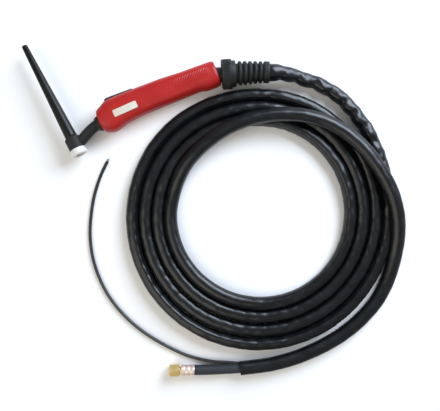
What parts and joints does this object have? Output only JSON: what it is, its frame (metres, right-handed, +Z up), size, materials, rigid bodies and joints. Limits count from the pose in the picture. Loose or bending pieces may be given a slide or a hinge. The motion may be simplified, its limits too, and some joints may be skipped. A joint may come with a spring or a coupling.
{
  "type": "tig torch",
  "caption": "TIG welding torch with a trigger handle on a ball swivel, a long back cap and a coiled, sleeved cable that ends in a union nut and a control lead.",
  "frame": {"origin": "on the surface that the torch lies on, under the middle of the torch, from its back cap to its bellows, without its cable", "axes": "+X along the handle from the head to the cable, +Y to the trigger side and the back cap, +Z up"},
  "size_m": [0.4, 0.4995, 0.037],
  "materials": {
    "handle_red": "satin moulded nylon",
    "black_plastic": "satin moulded plastic",
    "black_rubber": "moulded rubber",
    "cap_black": "smooth phenolic",
    "white_ptfe": "smooth PTFE",
    "label_cream": "blank label",
    "switch_body": "switch housing",
    "liner_white": "acetal",
    "brass": "machined brass",
    "ferrule_metal": "dull plated crimp",
    "copper_pipe": "drawn pipe",
    "steel": "zinc plated",
    "sleeve_black": "glossy coated sleeve",
    "hose_grey": "matte cable jacket",
    "lead_black": "satin cable jacket",
    "wire_tin": "tinned strands"
  },
  "bodies": {
    "cable_end": {"swivel_ball": "black_plastic", "ribbed_collar": "black_plastic", "bellows": "black_rubber", "cable_in_bellows": "hose_grey", "lead_in_bellows": "lead_black", "sleeve_lead_in": "sleeve_black", "sleeve_coil": "sleeve_black", "sleeve_lead_out": "sleeve_black", "power_cable": "hose_grey", "hose_ferrule": "ferrule_metal", "union_nipple": "brass", "control_lead": "lead_black", "control_wires": "wire_tin"},
    "liner": {"ball_liner": "liner_white"},
    "handle": {"handle_upper_shell": "handle_red", "handle_lower_shell": "handle_red", "handle_screws": "steel", "label_plate": "label_cream", "trigger_pin": "steel", "microswitch": "switch_body", "switch_bracket": "black_plastic", "torch_head": "brass", "head_moulding": "black_rubber", "neck_tube": "copper_pipe", "neck_cuff": "black_rubber", "cup_gasket": "white_ptfe", "crimp_connector": "brass", "cable_in_handle": "hose_grey", "lead_in_handle": "lead_black"},
    "trigger": {"trigger_lever": "black_plastic"},
    "plunger": {"switch_plunger": "liner_white"},
    "cap_seal": {"back_cap_seal": "black_rubber"},
    "cap": {"back_cap": "cap_black", "back_cap_insert": "brass"},
    "nut": {"union_nut": "brass"}
  },
  "joints": [
    {"name": "swivel_yaw", "type": "hinge", "parent": "cable_end", "child": "liner", "pos_m": [0.0663, -0.0426, 0.0185], "axis": [0, 0, 1], "range_deg": [-36, 4]},
    {"name": "swivel_pitch", "type": "hinge", "parent": "liner", "child": "handle", "pos_m": [0.0663, -0.0426, 0.0185], "axis": [0, 1, 0], "range_deg": [0, 10]},
    {"name": "trigger_press", "type": "hinge", "parent": "handle", "child": "trigger", "pos_m": [-0.0342, -0.0268, 0.0185], "axis": [0, 0, 1], "range_deg": [0, 2.2], "stiffness_Nm_per_rad": 0.8, "springref_deg": -2.29},
    {"name": "plunger_press", "type": "slide", "parent": "handle", "child": "plunger", "axis": [0, -1, 0], "range_m": [0, 0.0012]},
    {"name": "cap_travel", "type": "slide", "parent": "handle", "child": "cap_seal", "axis": [-0.1011, 0.9949, 0], "range_m": [0, 0.004]},
    {"name": "cap_unscrew", "type": "hinge", "parent": "cap_seal", "child": "cap", "pos_m": [-0.12419, -0.04985, 0.0185], "axis": [-0.1011, 0.9949, 0], "range_deg": [0, 1440.1]},
    {"name": "nut_spin", "type": "hinge", "parent": "cable_end", "child": "nut", "pos_m": [-0.10688, -0.37454, 0.0084], "axis": [-0.9304, 0.3665, 0], "continuous": true}
  ],
  "couplings": [
    {"joint": "plunger_press", "follows": "trigger_press", "m_per_rad": 0.03},
    {"joint": "cap_unscrew", "follows": "cap_travel", "rad_per_m": 6283.2}
  ]
}
